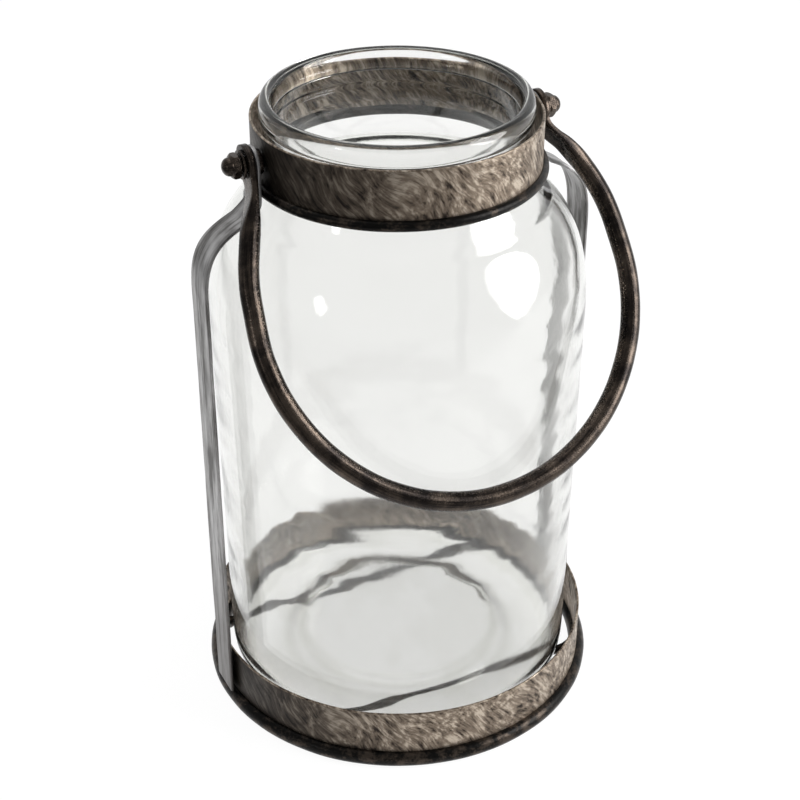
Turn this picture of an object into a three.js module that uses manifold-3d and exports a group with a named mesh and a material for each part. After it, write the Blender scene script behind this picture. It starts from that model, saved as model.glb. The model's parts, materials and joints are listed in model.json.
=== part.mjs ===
// Mason jar lantern: a clear glass jar standing in a metal cradle, with a swinging bail handle.
// Millimetres, +Z up. The origin is the centre of the base on the surface it stands on.
// +X runs along the bail's pivot axis, and the bail hangs down on the -Y side.

import * as THREE from 'three';
import { mergeVertices } from 'three/addons/utils/BufferGeometryUtils.js';
import Module from 'manifold-3d';

const wasm = await Module();
wasm.setup();

// ---------- driving dimensions ----------

const GAP = 0.3;                 // left between pieces that touch

const JAR_BOTTOM = 4.6;          // underside of the glass, resting on the two cross rods
const JAR_TOP = 215.7;
const HEEL_HEIGHT = 14;          // where the rounded heel meets the body
const HEEL_RADIUS = 60.2;        // outside of the body just above the heel
const BODY_RADIUS = 61.7;        // outside of the body just below the shoulder
const SHOULDER_HEIGHT = 145;     // where the shoulder starts to close in
const NECK_RADIUS = 41.3;
const LIP_RADIUS = 43.1;
const MOUTH_RADIUS = 38.2;
const FLOOR_HEIGHT = 13.4;       // inside floor of the jar, pushed up in the middle
const FLOOR_RADIUS = 32.5;
const MOAT = { inner: 41.5, outer: 51, height: 9.8 };    // the lower floor round the raised one
const PUSH_UP = 4.2;             // how far the underside is raised in the middle
const PUSH_UP_RADIUS = 32;
const FOOT_INNER = 43;           // the ring of glass that stands on the cross rods
const FOOT_OUTER = 51.5;
const SHOULDER_TOP = { radius: 49.5, height: 182 };      // where the shoulder turns up
const NECK_BASE = 198;           // where the neck rises straight
const BEAD_HEIGHT = 202;         // middle of the bead that stands for the screw thread
const BEAD_HALF = 2;
const GLASS_WALL = 3.2;          // at the body's widest
const INNER_HEEL = { radius: 57.1, height: 19 };         // where the inside curves to the floor
const INNER_SHOULDER = { radius: 46.8, height: 179 };
const INNER_NECK_BASE = 200;

const BAND_THICKNESS = 0.8;
const COLLAR_RADIUS = 45.8;      // outside of the collar band
const COLLAR_BOTTOM = 194.5;
const COLLAR_TOP = 210;
const COLLAR_HOOP_RADIUS = 46;   // to the middle of the wire
const COLLAR_HOOP_HEIGHT = 192.5;
const COLLAR_WIRE = 3.4;

const BASE_RADIUS = 66;          // outside of the base band, and the middle of the base hoop
const BASE_WIRE = 5.6;
const BASE_BAND_TOP = 22;
const ROD_DIAMETER = 3;
const ROD_OFFSET = 34;           // each cross rod's distance from the middle

const STRAP_THICKNESS = 1.2;
const STRAP_WIDTH = 12.5;
const STRAP_TOP_WIDTH = 11;
const STRAP_REACH = 68.4;        // outer face of the straight stretch
const STRAP_TOP_REACH = 49.2;    // outer face of the ear at the pivot
const STRAP_TAPER_START = 172;   // where the strap starts to narrow
const STRAP_TAPER_END = 186;

const PIVOT_HEIGHT = 201.9;
const BOLT_RADIUS = 2;
const HOLE_RADIUS = 2.35;
const BAIL_ROD = 6.4;
const BAIL_REACH = 50.6;         // middle of each flattened eye
const BOW_RADIUS = 64.2;
const BOW_DROP = 52.8;           // from the pivot axis to the middle of the bow's arc
const BOW_SHIFT = 3.8;           // the hand-bent bow sits a little to +X
const BOW_REST_HEIGHT = 104;     // where the bow leans on the jar
const BOW_CLEARANCE = 0.4;       // between the bow at rest and the jar
const EYE_RADIUS = 6;
const EYE_THICKNESS = 2.2;
const EYE_WIDENING = 1.35;       // how much wider the rod is where it is hammered flat
const FLAT_END = 8;              // the rod is flat from the eye to this drop,
const ROUND_START = 22;          // and round from this drop on
const ARC_START = 44;            // drop at which the bow's arc takes over from the legs
// Points down each leg: the drop below the pivot axis, and how far outside the eye.
const LEFT_LEG = [[7, 0.1], [14, 1.9], [25, 5.5], [32, 7.6], [38, 8.7]];
const RIGHT_LEG = [[6, 0.2], [9.5, 2.4], [13.5, 6.1], [22, 11.2], [30.5, 14.5], [38, 16.2]];

const BOLT_HEAD_RADIUS = 3.5;
const BOLT_HEAD_HEIGHT = 1.4;
const BOLT_GRIP = 3.2;           // how far the bolt reaches into the cap nut
const SPACER_RADIUS = 4;
const WASHER_RADIUS = 4.5;
const WASHER_THICKNESS = 0.8;
const NUT_RADIUS = 4.1;          // to the hexagon's corners
const NUT_HEX_LENGTH = 2.6;
const NUT_LENGTH = 5.3;
const NUT_DOME_RADIUS = 2.9;

const RING_STEPS = 60;

// ---------- derived sizes ----------

const BODY_TAPER = (BODY_RADIUS - HEEL_RADIUS) / (SHOULDER_HEIGHT - HEEL_HEIGHT);
const BOW_BOTTOM = BOW_DROP + BOW_RADIUS;
const JAR_RADIUS_AT_BOW = HEEL_RADIUS + BODY_TAPER * (BOW_REST_HEIGHT - HEEL_HEIGHT);
const REST_ANGLE = Math.asin((JAR_RADIUS_AT_BOW + BAIL_ROD / 2 + BOW_CLEARANCE) / BOW_BOTTOM);
const SPACER_INNER = COLLAR_RADIUS + GAP;
const SPACER_OUTER = STRAP_TOP_REACH - STRAP_THICKNESS - GAP;
const WASHER_INNER = BAIL_REACH + EYE_THICKNESS / 2 + GAP;
const NUT_INNER = WASHER_INNER + WASHER_THICKNESS + GAP;

// ---------- materials ----------

const glass = new THREE.MeshStandardMaterial({
  name: 'clear_glass', color: 0xe6ece8, roughness: 0.03, metalness: 0, transparent: true, opacity: 0.35,
});
const patina = new THREE.MeshStandardMaterial({
  name: 'brushed_patina', color: 0x6b625a, roughness: 0.45, metalness: 0.9,
});
const wire = new THREE.MeshStandardMaterial({
  name: 'dark_wire', color: 0x2b2624, roughness: 0.35, metalness: 0.9,
});
const strapSteel = new THREE.MeshStandardMaterial({
  name: 'grey_strap', color: 0x77787a, roughness: 0.4, metalness: 0.9,
});
const gunmetal = new THREE.MeshStandardMaterial({
  name: 'gunmetal', color: 0x35302d, roughness: 0.35, metalness: 0.95,
});

// ---------- helpers ----------

// A closed geometry as a manifold solid, with shared vertices and no collapsed triangles.
function solid(geometry) {
  geometry.deleteAttribute('normal');
  geometry.deleteAttribute('uv');
  const merged = mergeVertices(geometry, 1e-5);
  const index = merged.index.array;
  const kept = [];
  for (let i = 0; i < index.length; i += 3) {
    const [a, b, c] = [index[i], index[i + 1], index[i + 2]];
    if (a !== b && b !== c && c !== a) kept.push(a, b, c);
  }
  return new wasm.Manifold(new wasm.Mesh({
    numProp: 3,
    vertProperties: new Float32Array(merged.attributes.position.array),
    triVerts: new Uint32Array(kept),
  }));
}

function geometryOf(manifold) {
  const { vertProperties, triVerts } = manifold.getMesh();
  const geometry = new THREE.BufferGeometry();
  geometry.setAttribute('position', new THREE.BufferAttribute(vertProperties, 3));
  geometry.setIndex(new THREE.BufferAttribute(triVerts, 1));
  geometry.computeVertexNormals();
  return geometry;
}

function piece(name, geometry, material) {
  const mesh = new THREE.Mesh(geometry, material);
  mesh.name = name;
  return mesh;
}

// A profile of (radius, height) points turned about the Z axis.
function turned(points, steps = RING_STEPS) {
  return new THREE.LatheGeometry(points, steps).rotateX(Math.PI / 2);
}

// The same about the X axis, with heights along +X.
function turnedAlongX(points, steps) {
  return new THREE.LatheGeometry(points, steps).rotateZ(-Math.PI / 2);
}

function corners(list) {
  return list.map(([r, h]) => new THREE.Vector2(r, h));
}

// A round bar about the X axis from one x to another.
function barAlongX(radius, from, to, sides = 20) {
  const bar = new THREE.CylinderGeometry(radius, radius, to - from, sides);
  return bar.rotateZ(-Math.PI / 2).translate((from + to) / 2, 0, 0);
}

// A flat ring about the X axis, such as a washer.
function ringAlongX(inner, outer, from, to, sides = 24) {
  const profile = [[inner, from], [outer, from], [outer, to], [inner, to], [inner, from]];
  return turnedAlongX(corners(profile), sides);
}

// A wire hoop: a polygon section with flats at its top, bottom and sides.
function hoop(radius, height, wireDiameter, sides) {
  const corner = wireDiameter / 2 / Math.cos(Math.PI / sides);
  const section = [];
  for (let i = 0; i <= sides; i++) {
    const angle = (i + 0.5) / sides * 2 * Math.PI;
    section.push(new THREE.Vector2(radius + corner * Math.cos(angle), height + corner * Math.sin(angle)));
  }
  return turned(section);
}

// A thin upright band.
function band(outer, bottom, top) {
  const inner = outer - BAND_THICKNESS;
  return turned(corners([[inner, bottom], [outer, bottom], [outer, top], [inner, top], [inner, bottom]]));
}

// ---------- the jar ----------

// One closed wall from the middle of the underside, up the outside, over the lip and down the inside.
function jarProfile() {
  const wall = new THREE.Path();
  outsideOfJar(wall);
  lipOfJar(wall);
  insideOfJar(wall);
  return wall.getPoints(4);
}

function outsideOfJar(wall) {
  const raised = JAR_BOTTOM + PUSH_UP;
  wall.moveTo(0, raised);
  wall.lineTo(PUSH_UP_RADIUS, raised);
  wall.bezierCurveTo(PUSH_UP_RADIUS + 4, raised, FOOT_INNER - 5, JAR_BOTTOM, FOOT_INNER, JAR_BOTTOM);
  wall.lineTo(FOOT_OUTER, JAR_BOTTOM);
  wall.bezierCurveTo(FOOT_OUTER + 5.5, JAR_BOTTOM, HEEL_RADIUS, HEEL_HEIGHT - 6, HEEL_RADIUS, HEEL_HEIGHT);
  wall.lineTo(BODY_RADIUS, SHOULDER_HEIGHT);
  const { radius, height } = SHOULDER_TOP;
  wall.bezierCurveTo(BODY_RADIUS + 0.2, SHOULDER_HEIGHT + 17, radius + 8, height - 7, radius, height);
  wall.bezierCurveTo(radius - 4.3, height + 3.6, NECK_RADIUS + 3.2, NECK_BASE - 7, NECK_RADIUS, NECK_BASE);
}

// The neck with its bead, and the rounded lip.
function lipOfJar(wall) {
  wall.lineTo(NECK_RADIUS, BEAD_HEIGHT - BEAD_HALF);
  wall.quadraticCurveTo(NECK_RADIUS + 2.1, BEAD_HEIGHT, NECK_RADIUS, BEAD_HEIGHT + BEAD_HALF);
  wall.lineTo(NECK_RADIUS, JAR_TOP - 7.9);
  wall.quadraticCurveTo(LIP_RADIUS - 0.4, JAR_TOP - 7.5, LIP_RADIUS, JAR_TOP - 5.5);
  wall.quadraticCurveTo(LIP_RADIUS, JAR_TOP, LIP_RADIUS - 1.8, JAR_TOP);
  wall.lineTo(MOUTH_RADIUS + 1.8, JAR_TOP);
  wall.quadraticCurveTo(MOUTH_RADIUS + 0.2, JAR_TOP, MOUTH_RADIUS, JAR_TOP - 5);
}

function insideOfJar(wall) {
  const neck = INNER_NECK_BASE;
  const { radius, height } = INNER_SHOULDER;
  const body = BODY_RADIUS - GLASS_WALL;
  wall.lineTo(MOUTH_RADIUS, neck);
  wall.bezierCurveTo(MOUTH_RADIUS + 0.6, neck - 5.5, radius - 5.3, height + 7, radius, height);
  wall.bezierCurveTo(radius + 7.5, height - 6.7, body + 0.3, SHOULDER_HEIGHT + 15, body, SHOULDER_HEIGHT);
  wall.lineTo(INNER_HEEL.radius, INNER_HEEL.height);
  wall.bezierCurveTo(
    INNER_HEEL.radius, INNER_HEEL.height - 6.5, MOAT.outer + 5, MOAT.height, MOAT.outer, MOAT.height,
  );
  wall.lineTo(MOAT.inner, MOAT.height);
  wall.bezierCurveTo(
    MOAT.inner - 3, MOAT.height, FLOOR_RADIUS + 4, FLOOR_HEIGHT, FLOOR_RADIUS, FLOOR_HEIGHT,
  );
  wall.lineTo(0, FLOOR_HEIGHT);
}

function glassJar() {
  return turned(jarProfile(), 48);
}

// ---------- collar and base ----------

// The collar band, drilled on both sides for the pivot bolts.
function collarBand() {
  const drill = barAlongX(HOLE_RADIUS, -60, 60).translate(0, 0, PIVOT_HEIGHT);
  return geometryOf(solid(band(COLLAR_RADIUS, COLLAR_BOTTOM, COLLAR_TOP)).subtract(solid(drill)));
}

function collarHoop() {
  return hoop(COLLAR_HOOP_RADIUS, COLLAR_HOOP_HEIGHT, COLLAR_WIRE, 8);
}

function baseHoop() {
  return hoop(BASE_RADIUS, BASE_WIRE / 2, BASE_WIRE, 12);
}

function baseBand() {
  return band(BASE_RADIUS, BASE_WIRE + GAP, BASE_BAND_TOP);
}

// A cross rod whose ends stop short of the hoop's inside.
function crossRod() {
  const hoopInside = BASE_RADIUS - BASE_WIRE / 2 - GAP;
  const halfLength = Math.sqrt(hoopInside ** 2 - (ROD_OFFSET + ROD_DIAMETER / 2) ** 2);
  return barAlongX(ROD_DIAMETER / 2, -halfLength, halfLength, 12);
}

// ---------- side straps ----------

// The strap's outer face from the ear at the pivot, over the shoulder and down to the base hoop.
function strapLine() {
  const line = new THREE.Path();
  line.moveTo(STRAP_TOP_REACH, PIVOT_HEIGHT + STRAP_TOP_WIDTH / 2);
  line.lineTo(STRAP_TOP_REACH, 191);
  line.bezierCurveTo(STRAP_TOP_REACH, 188.6, 51, 187.4, 54, 184.9);
  line.bezierCurveTo(63.5, 180.5, STRAP_REACH, 176, STRAP_REACH, 162);
  line.lineTo(STRAP_REACH, BASE_WIRE + GAP);
  return line.getPoints(9);
}

// The outline of the strap's edge: the outer face, then the inner face one thickness in.
function strapEdge() {
  const outer = strapLine();
  const inner = outer.map((point, i) => {
    const before = outer[Math.max(i - 1, 0)];
    const after = outer[Math.min(i + 1, outer.length - 1)];
    const along = after.clone().sub(before).normalize();
    return new THREE.Vector2(point.x + along.y * STRAP_THICKNESS, point.y - along.x * STRAP_THICKNESS);
  });
  return new THREE.Shape([...outer, ...inner.reverse()]);
}

// The strap seen square on: straight sides, narrowing to a rounded ear round the pivot hole.
function strapFront() {
  const half = STRAP_WIDTH / 2;
  const ear = STRAP_TOP_WIDTH / 2;
  const front = new THREE.Shape();
  front.moveTo(-half, 0);
  front.lineTo(half, 0);
  front.lineTo(half, STRAP_TAPER_START);
  front.lineTo(ear, STRAP_TAPER_END);
  front.lineTo(ear, PIVOT_HEIGHT);
  front.absarc(0, PIVOT_HEIGHT, ear, 0, Math.PI, false);
  front.lineTo(-ear, STRAP_TAPER_END);
  front.lineTo(-half, STRAP_TAPER_START);
  const hole = new THREE.Path();
  hole.absarc(0, PIVOT_HEIGHT, HOLE_RADIUS, 0, 2 * Math.PI, true);
  front.holes.push(hole);
  return front;
}

function strap() {
  const edge = new THREE.ExtrudeGeometry(strapEdge(), { depth: STRAP_WIDTH + 2, bevelEnabled: false });
  edge.translate(0, 0, -(STRAP_WIDTH + 2) / 2).rotateX(Math.PI / 2);
  const front = new THREE.ExtrudeGeometry(strapFront(), {
    depth: 40, bevelEnabled: false, curveSegments: 12,
  });
  front.rotateX(Math.PI / 2).rotateZ(Math.PI / 2).translate(40, 0, 0);
  return geometryOf(solid(edge).intersect(solid(front)));
}

// ---------- bail handle ----------

// The rod's middle line in the bail's own plane, hanging down from the pivot axis.
function bailLine() {
  const points = [];
  const arcStart = Math.asin((BOW_DROP - ARC_START) / BOW_RADIUS);
  const arcSteps = 16;
  points.push(new THREE.Vector3(-BAIL_REACH, 0, 0));
  for (const [drop, out] of LEFT_LEG) points.push(new THREE.Vector3(-BAIL_REACH - out, 0, -drop));
  for (let i = 0; i <= arcSteps; i++) {
    const angle = Math.PI - arcStart + (Math.PI + 2 * arcStart) * i / arcSteps;
    const x = BOW_SHIFT + BOW_RADIUS * Math.cos(angle);
    points.push(new THREE.Vector3(x, 0, -BOW_DROP + BOW_RADIUS * Math.sin(angle)));
  }
  for (const [drop, out] of RIGHT_LEG.toReversed()) {
    points.push(new THREE.Vector3(BAIL_REACH + out, 0, -drop));
  }
  points.push(new THREE.Vector3(BAIL_REACH, 0, 0));
  return new THREE.CatmullRomCurve3(points, false, 'centripetal');
}

// The middle of the leg on one side at a given drop below the pivot axis.
function legMiddle(line, side, drop) {
  let low = side < 0 ? 0 : 0.75;
  let high = side < 0 ? 0.25 : 1;
  for (let i = 0; i < 30; i++) {
    const middle = (low + high) / 2;
    const isBelow = -line.getPoint(middle).z > drop;
    if (isBelow === side < 0) high = middle;
    else low = middle;
  }
  return line.getPoint((low + high) / 2).x;
}

// The round rod, hammered flat towards its two ends.
function bailRod() {
  const line = bailLine();
  const section = new THREE.Shape().absarc(0, 0, BAIL_ROD / 2, 0, 2 * Math.PI, false);
  const rod = new THREE.ExtrudeGeometry(section, {
    steps: 64, extrudePath: line, curveSegments: 6, bevelEnabled: false,
  });
  const position = rod.attributes.position;
  for (let i = 0; i < position.count; i++) {
    const drop = -position.getZ(i);
    if (drop > ROUND_START) continue;
    const roundness = THREE.MathUtils.smoothstep(drop, FLAT_END, ROUND_START);
    const thin = THREE.MathUtils.lerp(EYE_THICKNESS / BAIL_ROD, 1, roundness);
    const wide = THREE.MathUtils.lerp(EYE_WIDENING, 1, roundness);
    const middle = legMiddle(line, Math.sign(position.getX(i)), Math.max(drop, 0));
    position.setX(i, middle + (position.getX(i) - middle) * thin);
    position.setY(i, position.getY(i) * wide);
  }
  return rod;
}

function bail() {
  let body = solid(bailRod());
  for (const side of [-1, 1]) {
    const eye = barAlongX(EYE_RADIUS, -EYE_THICKNESS / 2, EYE_THICKNESS / 2, 32);
    body = body.add(solid(eye.translate(side * BAIL_REACH, 0, 0)));
  }
  body = body.subtract(solid(barAlongX(HOLE_RADIUS, -70, 70)));
  return geometryOf(body);
}

// ---------- pivot hardware, for the +X side ----------

// A pan-head bolt put through from inside the collar, ending in the cap nut.
function pivotBolt() {
  const headOuter = COLLAR_RADIUS - BAND_THICKNESS - 0.2 - GAP;
  const headInner = headOuter - BOLT_HEAD_HEIGHT;
  const tip = NUT_INNER + BOLT_GRIP;
  const profile = [
    [0, headInner], [BOLT_HEAD_RADIUS - 0.9, headInner],
    [BOLT_HEAD_RADIUS, headInner + BOLT_HEAD_HEIGHT / 2], [BOLT_HEAD_RADIUS, headOuter],
    [BOLT_RADIUS, headOuter], [BOLT_RADIUS, tip - 0.4], [BOLT_RADIUS - 0.4, tip], [0, tip],
  ];
  return turnedAlongX(corners(profile), 24);
}

function spacer() {
  return ringAlongX(HOLE_RADIUS, SPACER_RADIUS, SPACER_INNER + 0.1, SPACER_OUTER);
}

function washer() {
  return ringAlongX(HOLE_RADIUS, WASHER_RADIUS, WASHER_INNER, WASHER_INNER + WASHER_THICKNESS, 28);
}

// A hexagon with a domed end and a blind hole for the bolt.
function capNut() {
  const shoulder = NUT_INNER + NUT_HEX_LENGTH;
  const end = NUT_INNER + NUT_LENGTH;
  const hexagon = barAlongX(NUT_RADIUS, NUT_INNER, shoulder, 6);
  const dome = new THREE.Path();
  dome.moveTo(0, NUT_INNER + 0.5);
  dome.lineTo(NUT_DOME_RADIUS, NUT_INNER + 0.5);
  dome.lineTo(NUT_DOME_RADIUS, shoulder + 0.4);
  dome.bezierCurveTo(NUT_DOME_RADIUS, end - 0.6, 1.9, end, 0, end);
  const cap = turnedAlongX(dome.getPoints(6), 24);
  const blindHole = barAlongX(HOLE_RADIUS, NUT_INNER - 1, NUT_INNER + BOLT_GRIP + 0.4, 24);
  return geometryOf(solid(hexagon).add(solid(cap)).subtract(solid(blindHole)));
}

// Strap and pivot hardware of one side; the -X side is the +X side turned half round.
function sideAssembly(side, turn) {
  const group = new THREE.Group();
  group.rotation.z = turn;
  group.add(piece(`strap_${side}`, strap(), strapSteel));
  const pivot = new THREE.Group();
  pivot.position.z = PIVOT_HEIGHT;
  pivot.add(piece(`pivot_bolt_${side}`, pivotBolt(), gunmetal));
  pivot.add(piece(`spacer_${side}`, spacer(), gunmetal));
  pivot.add(piece(`washer_${side}`, washer(), gunmetal));
  pivot.add(piece(`cap_nut_${side}`, capNut(), gunmetal));
  group.add(pivot);
  return group;
}

// ---------- assembly ----------

const lantern = new THREE.Group();

lantern.add(piece('glass_jar', glassJar(), glass));
lantern.add(piece('collar_band', collarBand(), patina));
lantern.add(piece('collar_hoop', collarHoop(), wire));
lantern.add(piece('base_band', baseBand(), patina));
lantern.add(piece('base_hoop', baseHoop(), wire));

for (const [name, y] of [['front', -ROD_OFFSET], ['rear', ROD_OFFSET]]) {
  const rod = piece(`cross_rod_${name}`, crossRod(), wire);
  rod.position.set(0, y, BASE_WIRE / 2);
  lantern.add(rod);
}

lantern.add(sideAssembly('right', 0));
lantern.add(sideAssembly('left', Math.PI));

const bailMesh = piece('bail_handle', bail(), gunmetal);
bailMesh.position.z = PIVOT_HEIGHT;
bailMesh.rotation.x = -REST_ANGLE;
lantern.add(bailMesh);

export default lantern;
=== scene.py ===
"""The looks of the mason jar lantern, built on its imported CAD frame. Metres, +Z up.

Every CAD node is replaced by a finer mesh of the same size in the same place. The pivot axis runs
along X, and the strap and pivot hardware of the -X side are those of the +X side turned half round.
The bail rests against the jar on the -Y side.
"""

import json
import math

import bpy
from mathutils import Matrix, Vector, noise

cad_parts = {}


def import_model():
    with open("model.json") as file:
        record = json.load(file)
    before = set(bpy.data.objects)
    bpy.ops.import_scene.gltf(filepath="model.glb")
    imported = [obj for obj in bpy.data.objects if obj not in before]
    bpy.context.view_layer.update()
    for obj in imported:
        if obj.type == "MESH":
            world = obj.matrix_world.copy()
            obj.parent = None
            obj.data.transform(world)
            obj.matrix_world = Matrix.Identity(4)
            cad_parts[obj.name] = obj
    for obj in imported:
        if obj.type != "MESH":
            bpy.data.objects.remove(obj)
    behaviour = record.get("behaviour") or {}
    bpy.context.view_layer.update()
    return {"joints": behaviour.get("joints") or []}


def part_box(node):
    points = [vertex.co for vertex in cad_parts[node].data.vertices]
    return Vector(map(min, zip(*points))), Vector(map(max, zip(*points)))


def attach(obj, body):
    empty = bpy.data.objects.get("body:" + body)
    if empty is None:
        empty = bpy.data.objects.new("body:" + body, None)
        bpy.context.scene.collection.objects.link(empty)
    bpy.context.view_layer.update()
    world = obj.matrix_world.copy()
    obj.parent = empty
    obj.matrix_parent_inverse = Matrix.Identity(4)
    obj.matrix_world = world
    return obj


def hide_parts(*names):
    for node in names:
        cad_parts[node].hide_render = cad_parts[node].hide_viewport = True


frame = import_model()

MM = 0.001
TAU = 2 * math.pi

# ---------- sizes read from the frame ----------

JAR_LOW, JAR_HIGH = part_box("glass_jar")
COLLAR_LOW, COLLAR_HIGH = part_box("collar_band")
COLLAR_HOOP_LOW, COLLAR_HOOP_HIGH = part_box("collar_hoop")
BASE_LOW, BASE_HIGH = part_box("base_band")
BASE_HOOP_LOW, BASE_HOOP_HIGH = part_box("base_hoop")
STRAP_LOW, STRAP_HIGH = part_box("strap_right")
NUT_LOW, NUT_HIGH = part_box("cap_nut_right")
WASHER_LOW, WASHER_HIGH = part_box("washer_right")
SPACER_LOW, SPACER_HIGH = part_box("spacer_right")
BOLT_LOW, BOLT_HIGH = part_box("pivot_bolt_right")

HINGE = next(joint for joint in frame["joints"] if joint["name"] == "bail_hinge")
PIVOT = Vector(HINGE["pos_m"])

# ---------- the jar's sizes ----------

JAR_BOTTOM = JAR_LOW.z
JAR_TOP = JAR_HIGH.z
PUSH_UP = 4.2 * MM               # how far the underside is raised in the middle
PUSH_UP_RADIUS = 32 * MM
FOOT_INNER = 43 * MM             # the ring of glass that stands on the cross rods
FOOT_OUTER = 51.5 * MM
HEEL_RADIUS = 60.2 * MM
HEEL_HEIGHT = 14 * MM
BODY_RADIUS = 61.7 * MM
SHOULDER_HEIGHT = 145 * MM       # where the shoulder starts to close in
SHOULDER_TOP = Vector((49.5, 182)) * MM
NECK_RADIUS = 41.3 * MM
NECK_BASE = 198 * MM
LIP_RADIUS = 43 * MM
MOUTH_RADIUS = 38.2 * MM
INNER_NECK_BASE = 200 * MM
INNER_SHOULDER = Vector((46.8, 179)) * MM
INNER_BODY_RADIUS = 58.5 * MM
INNER_HEEL = Vector((57.1, 19)) * MM
MOAT_OUTER = 51 * MM             # the lower floor round the raised one
MOAT_INNER = 41.5 * MM
MOAT_HEIGHT = 9.8 * MM
FLOOR_RADIUS = 32.5 * MM
FLOOR_HEIGHT = 13.4 * MM
CENTRE_FACE = 0.4 * MM           # radius of the small faces that close the jar in its middle

THREAD_HEIGHT = 0.5 * MM
THREAD_HALF_WIDTH = 0.9 * MM
THREAD_PITCH = 4.2 * MM
THREAD_BOTTOM = 200 * MM
THREAD_ROOM_LOW = 192 * MM       # the thread is made between these two heights
THREAD_ROOM_HIGH = 208.5 * MM
THREAD_TURNS = 1.2
THREAD_FADE = 0.12               # turns over which each end of the thread rises

# Painted shade in the jar's floor: olive rings where the thick, curved glass looks darker. Radius and
# half width in millimetres, and strength.
FLOOR_RINGS = [(34.5, 2.2, 0.35), (40.5, 3.5, 0.16), (55, 3.0, 0.3)]

# ---------- the metal pieces' sizes ----------

BAND_THICKNESS = 0.8 * MM
BAND_EDGE = 0.35 * MM
BRAZE_DEPTH = 1.2 * MM           # how far a band sinks into the hoop below it
INNER_FACE_END = 17.3 * MM       # length round a band's section, over its top, to its inner foot
WELD_DEPTH = 1.6 * MM            # how far a cross rod's end sinks into the base hoop
WELD_SWELL = 0.9 * MM
WELD_LENGTH = 1.8 * MM
HOLE_RADIUS = 2.35 * MM

STRAP_THICKNESS = 1.2 * MM
STRAP_EDGE = 0.42 * MM
STRAP_REACH = 68.4 * MM          # outer face of the straight stretch
STRAP_TOP_REACH = 49.2 * MM      # outer face of the ear at the pivot
STRAP_TAPER_START = 172 * MM
STRAP_TAPER_END = 186 * MM
EAR_RADIUS = 5.5 * MM

BOLT_RADIUS = 2 * MM
BOLT_HEAD_RADIUS = 3.5 * MM
BOLT_HEAD_HEIGHT = 1.4 * MM
NUT_HEX_LENGTH = 2.6 * MM
NUT_DOME_RADIUS = 2.95 * MM
WASHER_EDGE = 0.25 * MM
SPACER_EDGE = 0.3 * MM

BAIL_ROD = 6.4 * MM
BAIL_REACH = 50.6 * MM           # middle of each flattened eye
BOW_RADIUS = 64.2 * MM
BOW_DROP = 52.8 * MM             # from the pivot axis to the middle of the bow's arc
BOW_SHIFT = 3.8 * MM             # the hand-bent bow sits a little to +X
BOW_REST_HEIGHT = 104 * MM       # where the bow leans on the jar
BOW_CLEARANCE = 0.4 * MM
ARC_START = 44 * MM              # drop at which the bow's arc takes over from the legs
EYE_RADIUS = 6 * MM
EYE_THICKNESS = 2.2 * MM
EYE_WIDENING = 1.35              # how much wider the rod is where it is hammered flat
FLAT_END = 8 * MM                # the rod is flat from the eye to this drop,
ROUND_START = 22 * MM            # and round from this drop on
# Points down each leg in millimetres: the drop below the pivot axis, and how far outside the eye.
LEFT_LEG = [(0, 0), (7, 0.1), (14, 1.9), (25, 5.5), (32, 7.6), (38, 8.7)]
RIGHT_LEG = [(0, 0), (6, 0.2), (9.5, 2.4), (13.5, 6.1), (22, 11.2), (30.5, 14.5), (38, 16.2)]

BODY_TAPER = (BODY_RADIUS - HEEL_RADIUS) / (SHOULDER_HEIGHT - HEEL_HEIGHT)
JAR_RADIUS_AT_BOW = HEEL_RADIUS + BODY_TAPER * (BOW_REST_HEIGHT - HEEL_HEIGHT)

# How many steps a mesh takes.
CORNER_STEPS = 4
BAND_STEPS = 240
JAR_STEPS = 256
EAR_STEPS = 12
EYE_STEPS = 10
BOW_STEPS = 16

# ---------- camera, room and floor ----------

AIM = Vector((0.0008, -0.0004, 0.1046))
CAMERA_AZIMUTH = math.radians(-26.12)
CAMERA_ELEVATION = math.radians(31.7)
CAMERA_DISTANCE = 0.596
CAMERA_LENS = 78.73
TO_CAMERA = Vector((
    math.sin(CAMERA_AZIMUTH) * math.cos(CAMERA_ELEVATION),
    -math.cos(CAMERA_AZIMUTH) * math.cos(CAMERA_ELEVATION),
    math.sin(CAMERA_ELEVATION),
))

LANTERN_MIDDLE = Vector((0, 0, 0.12))
ROOM_BEHIND = 0.9                # brightness of the room behind the lantern, seen from the camera
ROOM_IN_FRONT = 0.28
ROOM_FADE = (-0.7, 0.5)          # where it changes, from -1 straight behind to 1 at the camera

# The floor glows, with a painted shadow that dims it under the jar and painted shade that dims it out
# to the front and left, for the sake of what the glass and metal reflect. Each fade is a pair of
# distances from the lantern's axis.
FLOOR_HALF = 1.6
FLOOR_DROP = 0.05 * MM
FLOOR_GLOW = 0.95
FRONT = Vector((-0.44, -0.898, 0))
FRONT_FADE = (0.14, 0.42)
FRONT_GLOW = 0.35
LEFT = Vector((-0.95, -0.077, 0))
LEFT_FADE = (0.2, 0.36)
LEFT_SHARE = 0.15
UNDER_JAR_FADE = (0.04, 0.058)
UNDER_JAR_SHADOW_SHARE = 0.78

# Painted shade: the bands' patina is painted darkest away from this side of the lantern and left
# unshaded towards it. The side is the one to the camera's right, and it stays with the lantern in
# other views.
UNSHADED_SIDE = Vector((0.898, -0.44, 0))


# ---------- small helpers ----------


def bezier(points, steps):
    """Points along a Bezier curve of any degree, without its first one."""
    found = []
    for i in range(1, steps + 1):
        level = [Vector(p) for p in points]
        while len(level) > 1:
            level = [a.lerp(b, i / steps) for a, b in zip(level, level[1:])]
        found.append(level[0])
    return found


def outline(start, *stretches):
    """Points along an outline. A stretch is (steps, control points ..., end)."""
    points = [Vector(start)]
    for steps, *controls in stretches:
        points += bezier([points[-1], *controls], steps)
    return points


def near(point, across, up):
    """A (radius, height) point moved by millimetres."""
    return Vector(point) + Vector((across, up)) * MM


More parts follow.
